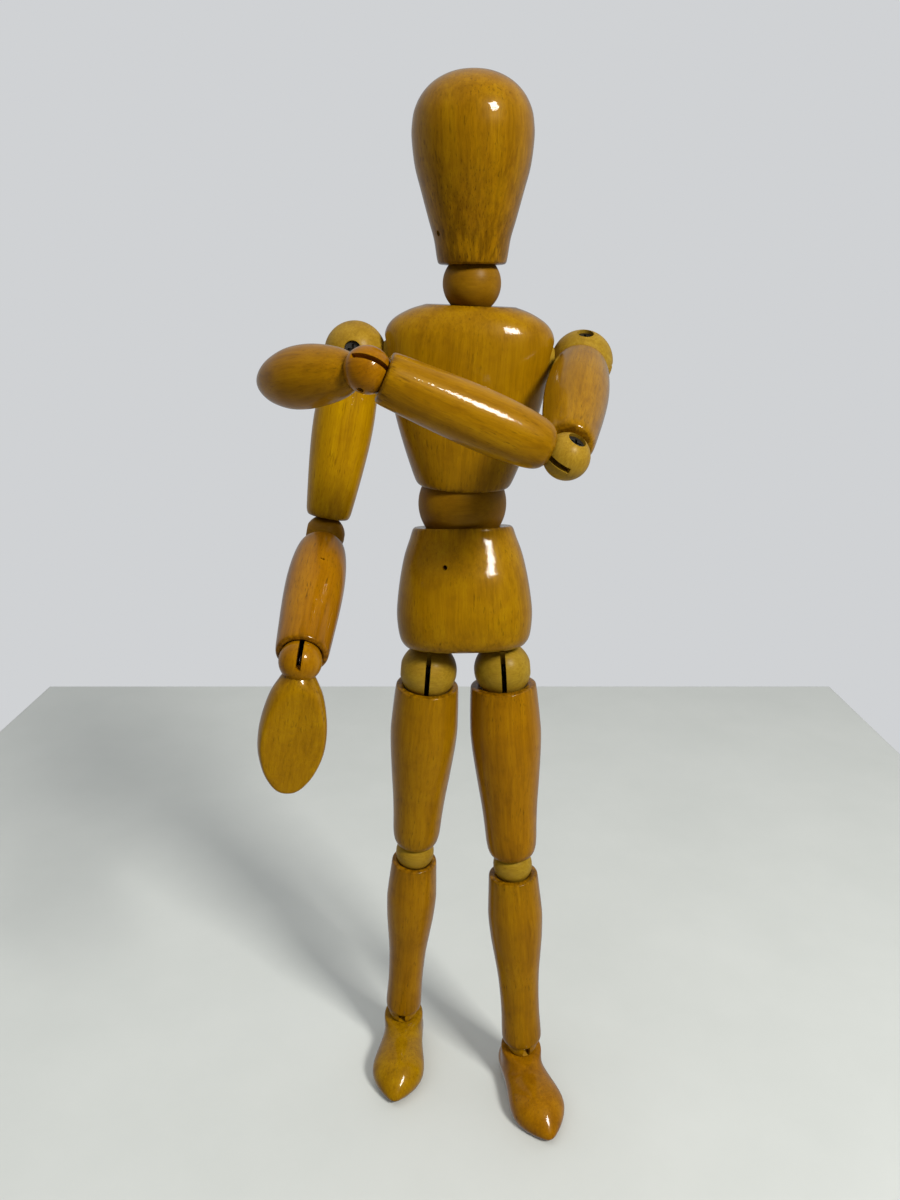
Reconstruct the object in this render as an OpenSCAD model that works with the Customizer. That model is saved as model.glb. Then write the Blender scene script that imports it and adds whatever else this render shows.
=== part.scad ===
// Jointed wooden drawing figure: turned limbs, slotted ball joints, cross
// screws and wire springs that pull the pieces together. Millimetres, +Z up,
// the figure faces -Y, its left side is +X, soles on Z = 0.

/* [Head and trunk] */
// widest diameter of the head
head_d = 30.8; // [27:0.1:34]
// head height from rim to crown
head_h = 44.9; // [41:0.1:48]
// neck ball diameter
neck_ball_d = 15.4; // [14:0.1:17]
// chest width at the shoulders
chest_w = 45.6; // [43:0.1:47]
// chest depth
chest_depth = 29; // [26:0.1:32]
// waist ball diameter
waist_ball_d = 25; // [23:0.1:25.6]
// pelvis width
pelvis_w = 38.6; // [36:0.1:42]
// pelvis depth
pelvis_depth = 28; // [26:0.1:31]
// waist ball centre above the hip line
waist_h = 48.3; // [47:0.1:50]
// neck ball centre above the waist ball centre
neck_h = 59; // [58:0.1:61]

/* [Arms] */
// shoulder ball diameter
shoulder_ball_d = 16.6; // [15.6:0.1:17.4]
// shoulder centre from the middle
shoulder_x = 30.6; // [30:0.1:33]
// shoulder centre above the waist ball centre
shoulder_z = 40.3; // [39:0.1:41]
// shoulder to elbow
upper_arm_len = 50; // [47:0.5:54]
// upper arm diameter
upper_arm_d = 16.4; // [15:0.1:18]
// elbow ball diameter
elbow_ball_d = 11; // [10.6:0.1:11.6]
// elbow to wrist
forearm_len = 49; // [46:0.5:53]
// right forearm diameter
right_forearm_d = 15.2; // [13.6:0.1:16]
// left forearm diameter
left_forearm_d = 13.9; // [13.6:0.1:16]
// wrist ball diameter
wrist_ball_d = 10.4; // [10:0.1:10.8]
// right wrist to fingertip
right_hand_len = 34.2; // [31:0.1:38]
// left wrist to fingertip
left_hand_len = 32; // [30:0.1:36]
// right hand width
right_hand_w = 17.7; // [15:0.1:19]
// left hand width
left_hand_w = 15.6; // [15:0.1:18]

/* [Legs] */
// hip ball diameter
hip_ball_d = 16.6; // [16:0.1:17]
// hip centre from the middle
hip_x = 10.8; // [10.4:0.1:12]
// hip to knee
thigh_len = 64; // [61:0.5:67]
// right thigh diameter
right_thigh_d = 20; // [18.4:0.1:21]
// left thigh diameter
left_thigh_d = 21; // [18.4:0.1:21.4]
// knee ball diameter
knee_ball_d = 12; // [11.6:0.1:12.4]
// knee to ankle
shin_len = 65; // [62:0.5:68]
// right calf diameter
right_shin_d = 15.9; // [15:0.1:17]
// left calf diameter
left_shin_d = 17; // [15:0.1:17.4]
// ankle ball diameter
ankle_ball_d = 10; // [9.6:0.1:10.4]
// ankle centre above the sole
ankle_h = 15; // [14.6:0.1:15.4]
// foot length
foot_len = 37.9; // [35:0.1:41]
// foot width
foot_w = 17.2; // [16:0.1:19]

/* [Joints] */
// gap between a ball and its socket
gap = 0.25; // [0.15:0.05:0.35]
// width of the saw slot in a ball
kerf = 1.4; // [1.3:0.1:1.8]
// spring wire diameter
wire_d = 0.6; // [0.4:0.05:0.65]
// screw head diameter
screw_head_d = 4.2; // [3.6:0.1:4.4]

/* [Pose] */
// pelvis leans back
pelvis_tilt = 9; // [0:1:15]
// pelvis leans to its right
pelvis_roll = 1.2; // [-3:0.1:3]
// chest leans forward
chest_lean = 2; // [-10:1:10]
// chest leans to its left
chest_roll = 2.2; // [-5:0.1:5]
// right leg swings back from the pelvis
right_hip_swing = 13.6; // [-20:0.1:25]
// left leg swings back from the pelvis
left_hip_swing = 6.9; // [-20:0.1:25]
// right leg spreads
right_hip_spread = 5.7; // [0:0.1:8]
// left leg spreads
left_hip_spread = 2.5; // [0:0.1:8]
// right toes turn out
right_toe_out = 4; // [-10:1:25]
// left toes turn out
left_toe_out = 15; // [-10:1:25]
// right arm swings forward
right_swing = 10; // [-60:0.5:90]
// left arm swings forward
left_swing = 68.5; // [-60:0.5:90]
// right arm leans outward
right_raise = 8.5; // [0:0.5:60]
// left arm leans inward
left_raise = 9.5; // [-60:0.5:12]
// right elbow turn
right_elbow_turn = 5.5; // [-90:0.5:90]
// left elbow turn
left_elbow_turn = -67; // [-90:0.5:90]
// right elbow bend
right_elbow_bend = 57.5; // [0:0.5:85]
// left elbow bend
left_elbow_bend = 82.5; // [0:0.5:85]
// right wrist turn
right_wrist_turn = -3.5; // [-90:0.5:90]
// left wrist turn
left_wrist_turn = -60; // [-90:0.5:90]
// right wrist bend
right_wrist_bend = 61.5; // [-65:0.5:65]
// left wrist bend
left_wrist_bend = -51; // [-65:0.5:65]

/* [Hidden] */

// where the middle of the hip line stands
base = [6.3, 15, 143.43];
wire_r = wire_d / 2;
eye_r = 1.1 + wire_r;
eye_x = wire_r + 0.06;
shaft_r = 0.8;
pin_r = 0.7;
nail_r = 0.65;
bore_r = 2.2;
coil_r = 1.5;
pitch = 0.93 * wire_d;
lacquer = [0.78, 0.5, 0.22];
pale = [0.88, 0.74, 0.5];
steel = [0.72, 0.72, 0.74];

neck_r = neck_ball_d / 2;
waist_r = waist_ball_d / 2;
shoulder_r = shoulder_ball_d / 2;
elbow_r = elbow_ball_d / 2;
wrist_r = wrist_ball_d / 2;
hip_r = hip_ball_d / 2;
knee_r = knee_ball_d / 2;
ankle_r = ankle_ball_d / 2;

// outlines as [radius, distance], chosen by eye for the sizes above
head_pts = [[7.5, 4.6], [8.7, 4.9], [9.2, 6.2], [10, 11], [11.3, 15.5],
  [13.1, 22], [14.7, 28], [15.4, 34], [15.3, 37.4], [14.6, 40.8],
  [12.7, 44.2], [9.6, 47], [5.3, 48.9], [0, 49.5]];
upper_arm_pts = [[6.6, 5], [7.1, 5.2], [7.4, 6.2], [7.9, 11], [8.2, 17],
  [8.1, 23], [7.6, 30], [6.9, 37], [6.4, 41.5], [6.1, 43.6], [5.6, 44.8],
  [4.8, 45.2]];
forearm_pts = [[4.1, 4.4], [5.5, 5.8], [6.3, 8.2], [6.95, 13], [7.25, 19],
  [7.2, 25], [6.95, 31], [6.6, 37], [6.3, 42], [6.1, 44.2], [5.8, 45],
  [5.1, 45.3]];
hand_pts = [[3.8, 3.4], [4.7, 4.9], [6.4, 8.4], [7.7, 13.5], [8.25, 18.5],
  [7.9, 23.5], [6.3, 28.5], [4.2, 31.9], [2.3, 33.6], [0, 34.2]];
thigh_pts = [[8, 4.6], [8.9, 4.8], [9.2, 5.6], [9.5, 9], [9.85, 15],
  [10, 20], [9.7, 26], [8.9, 35], [8.1, 43], [7.6, 50], [7.35, 55],
  [6.9, 58.2], [6.1, 59.9], [5.5, 60.3]];
shin_pts = [[6.1, 3], [6.8, 3.2], [7.1, 4], [7.4, 8], [7.8, 14],
  [7.95, 18], [7.6, 25], [6.9, 32], [6.2, 39], [5.85, 46], [5.75, 53],
  [5.9, 59], [5.95, 62], [5.75, 63.4], [5.3, 63.9]];
foot_pts = [[0, -9.7], [2.8, -9.3], [5, -7.9], [6.3, -5.4], [6.7, -3],
  [6.7, 0], [7, 4], [7.6, 8], [8.3, 12], [8.6, 15], [8.3, 18],
  [7, 21], [5, 23.8], [3, 26], [1.5, 27.4], [0, 28.2]];
// oval sections as [height, half width, half depth, shift along Y]
chest_rows = [[5.6, 12.3, 11.9], [6.5, 13.4, 12.6], [11, 15.2, 13.2],
  [18, 17.6, 13.8], [26, 19.9, 14.2], [34, 21.4, 14.5], [41, 22.5, 14.4],
  [46, 22.6, 13.9], [49.4, 20.6, 12.8], [52, 16.4, 11.2], [53.5, 12, 9.6]];
pelvis_rows = [[7.4, 15.6, 10.4, -2.6], [8.3, 17.2, 11.8, -2.6],
  [10.8, 18.6, 13.2, -2.6], [16, 19.3, 14.2, -2.4], [21, 19.1, 14.4, -2.1],
  [28, 18.1, 14.3, -1.5], [34, 16.8, 13.3, -0.5], [38.6, 15.2, 12.4, 0],
  [41, 14.4, 12.2, 0], [41.7, 13.8, 12, 0]];

// soft curve through a list of points
function curve(a, b, c, d, t) = 0.5 * (2 * b + (c - a) * t
  + (2 * a - 5 * b + 4 * c - d) * t * t + (3 * b - a - 3 * c + d) * t * t * t);
function soft(p, n) = concat([for (i = [0 : len(p) - 2]) for (k = [0 : n - 1])
  curve(p[max(i - 1, 0)], p[i], p[i + 1], p[min(i + 2, len(p) - 1)], k / n)],
  [p[len(p) - 1]]);
function sized(p, kr, kl) = [for (q = p) [q[0] * kr, q[1] * kl]];
function oval(a, b, z, n) = [for (i = [0 : n - 1]) let (t = 360 * i / n)
  [a * sign(cos(t)) * pow(abs(cos(t)), 0.87),
   b * sign(sin(t)) * pow(abs(sin(t)), 0.87), z]];
function rx(a, v) = [v[0], v[1] * cos(a) - v[2] * sin(a),
  v[1] * sin(a) + v[2] * cos(a)];
function ry(a, v) = [v[0] * cos(a) + v[2] * sin(a), v[1],
  v[2] * cos(a) - v[0] * sin(a)];
function side(s, r, l) = s < 0 ? r : l;
function pelvis_at(v) = base + ry(-pelvis_roll, rx(-pelvis_tilt, v));

waist = pelvis_at([0, 0, waist_h]);
neck = waist + ry(chest_roll, rx(chest_lean, [0, 0, neck_h]));
function ankle_at(s) = pelvis_at([s * hip_x, 0, 0] + ry(-s * side(s,
  right_hip_spread, left_hip_spread), rx(side(s, right_hip_swing,
  left_hip_swing), [0, 0, -thigh_len - shin_len])));

// frames of the pieces; limbs run along -Z from their upper ball
module in_pelvis() translate(base) rotate([-pelvis_tilt, -pelvis_roll, 0])
  children();
module in_waist() in_pelvis() translate([0, 0, waist_h]) children();
module in_chest() translate(waist) rotate([chest_lean, chest_roll, 0])
  children();
module in_neck() in_chest() translate([0, 0, neck_h]) children();
module in_head() translate(neck) rotate([chest_lean, 0, 0]) children();
module in_shoulder(s) in_chest() translate([s * shoulder_x, 0, shoulder_z])
  rotate([-side(s, right_swing, left_swing), 0, 0]) children();
module in_arm(s) in_shoulder(s) rotate([0, side(s, right_raise, left_raise),
  0]) children();
module in_elbow(s) in_arm(s) translate([0, 0, -upper_arm_len])
  rotate([0, 0, side(s, right_elbow_turn, left_elbow_turn)]) children();
module in_forearm(s) in_elbow(s) rotate([-side(s, right_elbow_bend,
  left_elbow_bend), 0, 0]) children();
module in_wrist(s) in_forearm(s) translate([0, 0, -forearm_len])
  rotate([0, 0, side(s, right_wrist_turn, left_wrist_turn)]) children();
module in_hand(s) in_wrist(s) rotate([side(s, right_wrist_bend,
  left_wrist_bend), 0, 0]) children();
module in_hip(s) in_pelvis() translate([s * hip_x, 0, 0]) rotate([0, -s
  * side(s, right_hip_spread, left_hip_spread), 0]) children();
module in_thigh(s) in_hip(s) rotate([side(s, right_hip_swing,
  left_hip_swing), 0, 0]) children();
module in_knee(s) in_thigh(s) translate([0, 0, -thigh_len]) children();
module in_foot(s) translate([ankle_at(s)[0], ankle_at(s)[1], ankle_h])
  rotate([0, 0, s * side(s, right_toe_out, left_toe_out)]) children();
// turns the standard ball so its parent lies toward the chest
module toward_chest(s) multmatrix([[0, 0, -s, 0], [-s, 0, 0, 0],
  [0, 1, 0, 0], [0, 0, 0, 1]]) children();

// general shapes
module turned(pts, n) rotate_extrude($fn = 96) polygon(concat(
  [[0, -pts[0][1]]], [for (p = soft(pts, n)) [max(p[0], 0), -p[1]]],
  pts[len(pts) - 1][0] > 0 ? [[0, -pts[len(pts) - 1][1]]] : []));
module loft(rows, n) {
  m = len(rows);
  polyhedron(points = [for (r = rows) for (p = oval(r[1], r[2], r[0], n))
      p + [0, len(r) > 3 ? r[3] : 0, 0]],
    faces = concat([[for (i = [0 : n - 1]) i]],
      [[for (i = [n - 1 : -1 : 0]) (m - 1) * n + i]],
      [for (j = [0 : m - 2]) for (i = [0 : n - 1]) [j * n + i,
        (j + 1) * n + i, (j + 1) * n + (i + 1) % n]],
      [for (j = [0 : m - 2]) for (i = [0 : n - 1]) [j * n + i,
        (j + 1) * n + (i + 1) % n, j * n + (i + 1) % n]]));
}
module limb(pts, len, r_top, r_low) difference() {
  turned(pts, 3);
  sphere(r = r_top + gap, $fn = 96);
  translate([0, 0, -len]) sphere(r = r_low + gap, $fn = 96);
  translate([0, 0, -len]) cylinder(r = bore_r, h = len, $fn = 48);
}
// slot in the YZ plane; angles run from straight down toward the front
module slot(r, a0, a1, w = kerf) rotate([90, 0, 90]) translate([0, 0, -w / 2])
  linear_extrude(height = w) union() {
    circle(r = eye_r + wire_r + 0.4, $fn = 48);
    polygon(concat([[0, 0]], [for (i = [0 : 6]) let (a = a0 + (a1 - a0) * i
      / 6) [-2 * r * sin(a), -2 * r * cos(a)]]));
  }
// ball with a slot, a hole for the parent's wire and a cross hole
module slotted(r, a0, a1) difference() {
  sphere(r = r, $fn = 96);
  slot(r, a0, a1);
  cylinder(r = 0.95, h = r + 1, $fn = 32);
  children();
}
module screw_hole(r, h) {
  translate([-r, 0, 0]) rotate([0, 90, 0]) cylinder(r = shaft_r + 0.05,
    h = 2 * r, $fn = 32);
  translate([h > 0 ? r - 2.65 : -r - 1, 0, 0]) rotate([0, 90, 0])
    cylinder(r = screw_head_d / 2 + 0.1, h = 3.65, $fn = 48);
}
module screw(r, h) rotate([0, h * 90, 0]) difference() {
  union() {
    translate([0, 0, 1.8 - r]) cylinder(r = shaft_r, h = 2 * r - 4, $fn = 32);
    translate([0, 0, r - 2.6]) cylinder(r1 = screw_head_d / 2 - 0.5,
      r2 = screw_head_d / 2, h = 0.7, $fn = 48);
    translate([0, 0, r - 1.9]) cylinder(r = screw_head_d / 2, h = 0.7,
      $fn = 48);
  }
  for (a = [0, 90]) rotate([0, 0, a]) translate([-1.4, -0.3, r - 2])
    cube([2.8, 0.6, 1]);
}
module pin_hole(r) translate([-r, 0, 0]) rotate([0, 90, 0])
  cylinder(r = pin_r + 0.05, h = 2 * r, $fn = 32);
module pin(r) translate([0.7 - r, 0, 0]) rotate([0, 90, 0])
  cylinder(r = pin_r, h = 2 * r - 1.4, $fn = 32);
module eye() rotate([0, 90, 0]) rotate_extrude($fn = 40)
  translate([eye_r, 0]) circle(r = wire_r, $fn = 24);
// eye and straight wire from one cross pin, along -Z to a distance
module hook(x, len) translate([x, 0, 0]) {
  eye();
  translate([0, 0, -len]) cylinder(r = wire_r - 0.02, h = len - eye_r,
    $fn = 24);
}
// close wound coil between two distances
module coil(d0, d1) {
  n = floor((d1 - d0) / pitch);
  rotate_extrude($fn = 48) for (i = [0 : n]) translate([coil_r, -d0 - i
    * pitch]) circle(r = wire_r, $fn = 24);
  for (d = [d0, d0 + n * pitch]) translate([0, 0, -d - wire_r * 0.8])
    cylinder(r = coil_r, h = wire_r * 1.6, $fn = 48);
}
// spring between an upper and a lower cross pin
module spring(len, a_top, a_low, x_low) {
  rotate([0, 0, a_top]) hook(-eye_x, 0.3 * len);
  coil(0.3 * len, 0.3 * len + 12);
  translate([0, 0, -len]) rotate([0, 0, a_low]) rotate([180, 0, 0])
    hook(x_low, 0.7 * len - 11.4);
}

// trunk
module pelvis() color(lacquer) in_pelvis() difference() {
  scale([pelvis_w / 38.6, pelvis_depth / 28, 1]) loft(soft(pelvis_rows, 2),
    40);
  translate([0, 0, waist_h]) sphere(r = waist_r + gap, $fn = 96);
  translate([0, 0, 28]) cylinder(r = bore_r, h = 20, $fn = 48);
  for (s = [-1, 1]) translate([s * hip_x, 0, 0]) {
    sphere(r = hip_r + gap, $fn = 96);
    rotate([0, -s * side(s, right_hip_spread, left_hip_spread), 0])
      cylinder(r = bore_r, h = 21.5, $fn = 48);
  }
  translate([0, 0, 31.4]) rotate([90, 0, -20]) cylinder(r = nail_r + 0.05,
    h = 50, center = true, $fn = 32);
  translate([0, 0, 18]) rotate([0, 90, 0]) cylinder(r = nail_r + 0.05, h = 50,
    center = true, $fn = 32);
}
module pelvis_nail() color(steel) in_pelvis() translate([0, 0, 31.4])
  rotate([90, 0, -20]) cylinder(r = nail_r, h = 25, center = true, $fn = 32);
module hip_pin() color(steel) in_pelvis() translate([0, 0, 18])
  rotate([0, 90, 0]) cylinder(r = nail_r, h = 36, center = true, $fn = 32);
module waist_spring() color(steel) union() {
  in_pelvis() translate([0, 0, 31.4]) rotate([0, 0, 70]) rotate([180, 0, 0])
    hook(0, waist_h - 31.4);
  translate(waist) sphere(r = wire_r + 0.1, $fn = 24);
  in_chest() {
    translate([0, 0, 31]) rotate([0, 0, 90]) hook(0, 8);
    translate([0, 0, 31]) coil(7.4, 16);
    cylinder(r = wire_r - 0.02, h = 15.2, $fn = 24);
  }
}
module waist_ball() color(pale) in_waist() difference() {
  sphere(r = waist_r, $fn = 120);
  cylinder(r = 1.6, h = 30, center = true, $fn = 48);
  translate([0, 0, 1]) cylinder(r1 = 1.6, r2 = 6.8, h = waist_r, $fn = 64);
}
module chest() color(lacquer) in_chest() difference() {
  scale([chest_w / 45.6, chest_depth / 29, 1]) loft(soft(chest_rows, 2), 40);
  sphere(r = waist_r + gap, $fn = 96);
  translate([0, 0, neck_h]) sphere(r = neck_r + gap, $fn = 96);
  cylinder(r = bore_r, h = 35, $fn = 48);
  translate([0, 0, 45]) cylinder(r = bore_r, h = 10, $fn = 48);
  translate([0, 0, shoulder_z]) rotate([0, 90, 0]) cylinder(r = bore_r, h = 60,
    center = true, $fn = 48);
  for (s = [-1, 1]) translate([s * (shoulder_x - shoulder_r - 1.7), 0,
    shoulder_z]) rotate([0, s * 90, 0]) cylinder(r = 5.6, h = 10, $fn = 64);
  for (z = [31, 48]) translate([0, -3.2, z]) rotate([-90, 0, 0])
    cylinder(r = nail_r + 0.05, h = 30, $fn = 32);
}
module chest_nails() color(steel) in_chest() {
  translate([0, -3, 31]) rotate([-90, 0, 0]) cylinder(r = nail_r, h = 16.2,
    $fn = 32);
  translate([0, -3, 48]) rotate([-90, 0, 0]) cylinder(r = nail_r, h = 14.6,
    $fn = 32);
}
module shoulder_spring() color(steel) union() {
  for (s = [-1, 1]) in_shoulder(s) toward_chest(s) rotate([180, 0, 0])
    hook(-s * eye_x, shoulder_x - 5);
  in_chest() translate([0, 0, shoulder_z]) rotate([0, 90, 0])
    coil(-6, 6);
}
module neck_spring() color(steel) union() {
  in_chest() translate([0, 0, 48]) rotate([0, 0, 90]) rotate([180, 0, 0])
    hook(0, neck_h - 48);
  translate(neck) sphere(r = wire_r + 0.1, $fn = 24);
  in_head() {
    translate([0, 0, 12]) rotate([0, 0, 31]) rotate([180, 0, 0])
      rotate([180, 0, 0]) hook(0, 2);
    translate([0, 0, 12]) coil(2, 6);
    cylinder(r = wire_r - 0.02, h = 6, $fn = 24);
  }
}
module neck_ball() color(pale) in_neck() difference() {
  sphere(r = neck_r, $fn = 96);
  cylinder(r = 1.4, h = 30, center = true, $fn = 48);
  translate([0, 0, 1]) cylinder(r1 = 1.4, r2 = 4.6, h = neck_r, $fn = 64);
}
module head() color(lacquer) in_head() difference() {
  rotate([180, 0, 0]) turned(sized(head_pts, head_d / 30.8, head_h / 44.9), 4);
  sphere(r = neck_r + gap, $fn = 96);
  cylinder(r = bore_r, h = 16, $fn = 48);
  translate([0, 0, 12]) rotate([90, 0, -59]) cylinder(r = nail_r + 0.05,
    h = 40, center = true, $fn = 32);
}
module head_nail() color(steel) in_head() translate([0, 0, 12])
  rotate([90, 0, -59]) cylinder(r = nail_r, h = 19, center = true, $fn = 32);

// arms
module shoulder_ball(s) color(pale) in_shoulder(s) toward_chest(s)
  difference() {
    union() {
      intersection() {
        sphere(r = shoulder_r, $fn = 96);
        translate([0, 0, -20 + shoulder_r - 0.7]) cube(40, center = true);
      }
      translate([0, 0, 6]) cylinder(r1 = 2, r2 = 4.6, h = shoulder_r - 4.6,
        $fn = 64);
    }
    slot(shoulder_r, -15, 116);
    cylinder(r = 0.95, h = 12, $fn = 32);
    screw_hole(shoulder_r, s);
  }
module shoulder_screw(s) color(steel) in_shoulder(s) toward_chest(s)
  screw(shoulder_r, s);
module upper_arm(s) color(lacquer) in_arm(s) limb(sized(upper_arm_pts,
  upper_arm_d / 16.4, upper_arm_len / 50), upper_arm_len, shoulder_r, elbow_r);
module upper_arm_spring(s) color(steel) in_arm(s) spring(upper_arm_len, 90,
  side(s, right_elbow_turn, left_elbow_turn), eye_x);
module elbow_ball(s) color(pale) in_elbow(s) slotted(elbow_r, -14, 100)
  screw_hole(elbow_r, s);
module elbow_screw(s) color(steel) in_elbow(s) screw(elbow_r, s);
module forearm(s) color(lacquer) in_forearm(s) limb(sized(forearm_pts,
  side(s, right_forearm_d, left_forearm_d) / 14.5, forearm_len / 49
  * side(s, 1.04, 1)), forearm_len,
  elbow_r, wrist_r);
module forearm_spring(s) color(steel) in_forearm(s) spring(forearm_len, 0,
  side(s, right_wrist_turn, left_wrist_turn), 0);
module wrist_ball(s) color(lacquer) in_hand(s) difference() {
  sphere(r = wrist_r, $fn = 96);
  slot(wrist_r, 80, 280, 1.2);
  pin_hole(wrist_r);
}
module wrist_pin(s) color(steel) in_hand(s) pin(wrist_r);
module hand(s) color(lacquer) in_hand(s) difference() {
  turned(sized(hand_pts, side(s, right_hand_w, left_hand_w) / 17.7,
    side(s, right_hand_len, left_hand_len) / 34.2), 4);
  rotate([0, 0, side(s, 10, 0)]) translate([0, -5.4, -4]) rotate([7, 0, 0])
    translate([-15, -20, -42]) cube([30, 20, 48]);
  sphere(r = wrist_r + 0.02, $fn = 96);
}

// legs
module hip_spring(s) color(steel) in_hip(s) {
  hook_len = 18 / cos(side(s, right_hip_spread, left_hip_spread));
  union() {
    rotate([180, 0, 0]) hook(eye_x, hip_r + 1);
    translate([0, 0, hook_len]) hook(0, hook_len - 13.8);
    rotate([180, 0, 0]) coil(hip_r + 0.8, 14.3);
  }
}
module hip_ball(s) color(pale) in_hip(s) slotted(hip_r, -50, 137)
  screw_hole(hip_r, s);
module hip_screw(s) color(steel) in_hip(s) screw(hip_r, s);
module thigh(s) color(lacquer) in_thigh(s) limb(sized(thigh_pts,
  side(s,
  right_thigh_d, left_thigh_d) / 20, thigh_len / 64), thigh_len, hip_r, knee_r);
module thigh_spring(s) color(steel) in_thigh(s) spring(thigh_len, 0, 0,
  eye_x);
module knee_ball(s) color(pale) in_knee(s) slotted(knee_r, -95, 14)
  pin_hole(knee_r);
module knee_pin(s) color(steel) in_knee(s) pin(knee_r);
module shin(s) color(lacquer) in_knee(s) limb(sized(shin_pts, side(s,
  right_shin_d, left_shin_d) / 15.9, shin_len / 65), shin_len, knee_r, ankle_r);
module shin_spring(s) color(steel) in_knee(s) spring(shin_len, 0,
  s * side(s, right_toe_out, left_toe_out), 0);
module ankle_ball(s) color(lacquer) in_foot(s) difference() {
  sphere(r = ankle_r, $fn = 96);
  slot(ankle_r, 55, 265, 2.2);
  pin_hole(ankle_r);
}
module ankle_pin(s) color(steel) in_foot(s) pin(ankle_r);
module foot(s) color(lacquer) in_foot(s) difference() {
  union() {
    translate([0, 0, 4.6 - ankle_h]) scale([1, 1, 0.79]) rotate([95.5, 0, 0])
      rotate([180, 0, 0]) turned(sized(foot_pts, foot_w / 17.2, foot_len / 37.9),
      4);
    translate([0, 0.4, 1 - ankle_h]) cylinder(r1 = 6.4, r2 = 6.8, h = 14,
      $fn = 64);
    translate([0, 1, 8 - ankle_h]) rotate([112, 0, 0]) cylinder(r1 = 6.5,
      r2 = 5, h = 16, $fn = 64);
  }
  translate([-30, -50, -40 - ankle_h]) cube([60, 80, 40]);
  translate([0, 0, -2.4]) rotate([14, 0, 0]) cylinder(r = 9.2, h = 12,
    $fn = 64);
  sphere(r = ankle_r + 0.02, $fn = 96);
}

pelvis();
pelvis_nail();
hip_pin();
waist_spring();
waist_ball();
chest();
chest_nails();
shoulder_spring();
neck_spring();
neck_ball();
head();
head_nail();
shoulder_ball(-1);  // shoulder_ball_right
shoulder_screw(-1);  // shoulder_screw_right
upper_arm(-1);  // upper_arm_right
upper_arm_spring(-1);  // upper_arm_spring_right
elbow_ball(-1);  // elbow_ball_right
elbow_screw(-1);  // elbow_screw_right
forearm(-1);  // forearm_right
forearm_spring(-1);  // forearm_spring_right
wrist_ball(-1);  // wrist_ball_right
wrist_pin(-1);  // wrist_pin_right
hand(-1);  // hand_right
hip_spring(-1);  // hip_spring_right
hip_ball(-1);  // hip_ball_right
hip_screw(-1);  // hip_screw_right
thigh(-1);  // thigh_right
thigh_spring(-1);  // thigh_spring_right
knee_ball(-1);  // knee_ball_right
knee_pin(-1);  // knee_pin_right
shin(-1);  // shin_right
shin_spring(-1);  // shin_spring_right
ankle_ball(-1);  // ankle_ball_right
ankle_pin(-1);  // ankle_pin_right
foot(-1);  // foot_right
shoulder_ball(1);  // shoulder_ball_left
shoulder_screw(1);  // shoulder_screw_left
upper_arm(1);  // upper_arm_left
upper_arm_spring(1);  // upper_arm_spring_left
elbow_ball(1);  // elbow_ball_left
elbow_screw(1);  // elbow_screw_left
forearm(1);  // forearm_left
forearm_spring(1);  // forearm_spring_left
wrist_ball(1);  // wrist_ball_left
wrist_pin(1);  // wrist_pin_left
hand(1);  // hand_left
hip_spring(1);  // hip_spring_left
hip_ball(1);  // hip_ball_left
hip_screw(1);  // hip_screw_left
thigh(1);  // thigh_left
thigh_spring(1);  // thigh_spring_left
knee_ball(1);  // knee_ball_left
knee_pin(1);  // knee_pin_left
shin(1);  // shin_left
shin_spring(1);  // shin_spring_left
ankle_ball(1);  // ankle_ball_left
ankle_pin(1);  // ankle_pin_left
foot(1);  // foot_left
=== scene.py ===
import math

import bmesh
import bpy
import numpy as np
from mathutils import Matrix, Vector


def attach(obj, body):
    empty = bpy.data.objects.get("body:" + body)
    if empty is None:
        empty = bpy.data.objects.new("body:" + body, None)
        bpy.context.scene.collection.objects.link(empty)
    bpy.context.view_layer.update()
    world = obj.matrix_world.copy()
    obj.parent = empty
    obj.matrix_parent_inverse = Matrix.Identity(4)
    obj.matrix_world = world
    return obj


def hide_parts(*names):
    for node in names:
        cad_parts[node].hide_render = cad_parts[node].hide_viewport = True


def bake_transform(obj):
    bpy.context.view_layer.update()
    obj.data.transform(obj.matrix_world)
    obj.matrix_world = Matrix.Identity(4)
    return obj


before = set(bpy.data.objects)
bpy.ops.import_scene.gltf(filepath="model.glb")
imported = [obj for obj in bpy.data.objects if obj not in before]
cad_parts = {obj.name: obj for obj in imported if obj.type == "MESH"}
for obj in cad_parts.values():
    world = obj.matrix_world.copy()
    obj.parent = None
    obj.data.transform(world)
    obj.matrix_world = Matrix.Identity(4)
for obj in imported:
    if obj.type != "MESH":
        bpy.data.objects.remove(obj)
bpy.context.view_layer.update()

MM = 0.001
scene = bpy.context.scene
scene.view_settings.view_transform = "Standard"

# ---------------------------------------------------------------- frames (mm)
BASE = (6.3, 15.0, 143.43)
GAP = 0.25
KERF = 1.4
BORE = 2.2
R_NECK, R_WAIST, R_SHOULDER, R_ELBOW = 7.7, 12.5, 8.3, 5.5
R_WRIST, R_HIP, R_KNEE, R_ANKLE = 5.2, 8.3, 6.0, 5.0


def T(x, y, z):
    return Matrix.Translation(Vector((x, y, z)))


def R(axis, deg):
    return Matrix.Rotation(math.radians(deg), 4, axis)


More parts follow.
